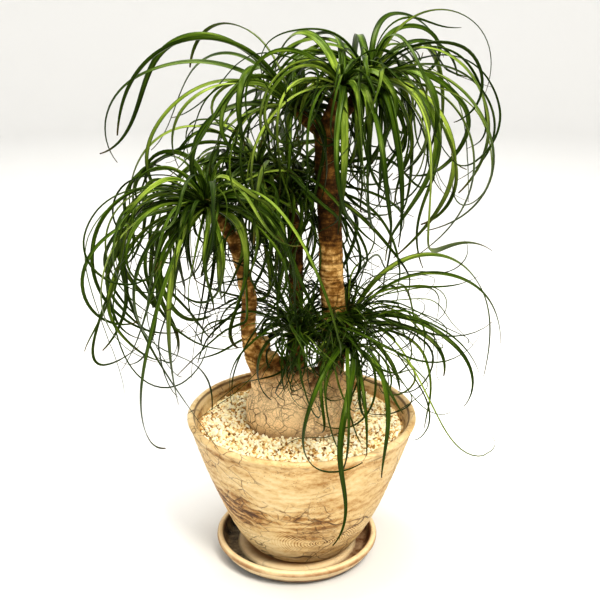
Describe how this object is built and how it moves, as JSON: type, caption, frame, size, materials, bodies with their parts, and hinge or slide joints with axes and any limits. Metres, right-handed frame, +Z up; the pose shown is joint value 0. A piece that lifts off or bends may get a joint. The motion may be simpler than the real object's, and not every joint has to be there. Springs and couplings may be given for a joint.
{
  "type": "potted ponytail palm",
  "caption": "Potted ponytail palm: woody stems on a swollen foot, crowns of long arching ribbon leaves, in a flared stoneware pot on its saucer.",
  "frame": {"origin": "on the saucer's flat underside, straight below the pot's centre", "axes": "+Z up, -Y towards the plant's front, +X to the right as seen from the front"},
  "size_m": [0.4348, 0.3432, 0.5892],
  "materials": {
    "pot_stoneware": "weathered cream stoneware with brown wash in its cracks, slight sheen",
    "saucer_stoneware": "the same stoneware, browner and worn",
    "drainage_stone": "rough clay balls",
    "potting_soil": "moist dark soil",
    "pumice_gravel": "dry cream pumice grains",
    "bark": "ringed brown bark above, pale cracked bark on the swollen foot",
    "leaf": "smooth green blade with fine lengthwise fibres and a soft waxy sheen"
  },
  "bodies": {
    "root": {"caudex_and_trunks": "bark", "drainage_stones": "drainage_stone", "leaf_back_01": "leaf", "leaf_back_02": "leaf", "leaf_back_03": "leaf", "leaf_left_01": "leaf", "leaf_left_02": "leaf", "leaf_left_03": "leaf", "leaf_left_04": "leaf", "leaf_left_05": "leaf", "leaf_left_06": "leaf", "leaf_left_07": "leaf", "leaf_left_08": "leaf", "leaf_left_09": "leaf", "leaf_left_10": "leaf", "leaf_left_11": "leaf", "leaf_low_front_01": "leaf", "leaf_low_front_02": "leaf", "leaf_low_front_03": "leaf", "leaf_low_front_04": "leaf", "leaf_low_middle_01": "leaf", "leaf_low_middle_02": "leaf", "leaf_low_right_01": "leaf", "leaf_low_right_02": "leaf", "leaf_low_right_03": "leaf", "leaf_low_right_04": "leaf", "leaf_low_right_05": "leaf", "leaf_middle_01": "leaf", "leaf_middle_02": "leaf", "leaf_upper_front_01": "leaf", "leaf_upper_front_02": "leaf", "leaf_upper_front_03": "leaf", "leaf_upper_front_04": "leaf", "leaf_upper_front_05": "leaf", "leaf_upper_left_01": "leaf", "leaf_upper_left_02": "leaf", "leaf_upper_left_03": "leaf", "leaf_upper_left_04": "leaf", "leaf_upper_left_05": "leaf", "leaf_upper_left_06": "leaf", "leaf_upper_left_07": "leaf", "leaf_upper_left_08": "leaf", "leaf_upper_left_09": "leaf", "leaf_upper_left_10": "leaf", "leaf_upper_right_01": "leaf", "leaf_upper_right_02": "leaf", "leaf_upper_right_03": "leaf", "leaf_upper_right_04": "leaf", "leaf_upper_right_05": "leaf", "leaf_upper_right_06": "leaf", "leaf_upper_right_07": "leaf", "leaf_upper_right_08": "leaf", "leaf_upper_right_09": "leaf", "leaf_upper_right_10": "leaf", "leaf_upper_right_11": "leaf", "leaf_upper_right_12": "leaf", "pot": "pot_stoneware", "potting_soil": "potting_soil", "saucer": "saucer_stoneware", "top_gravel": "pumice_gravel"}
  },
  "joints": []
}
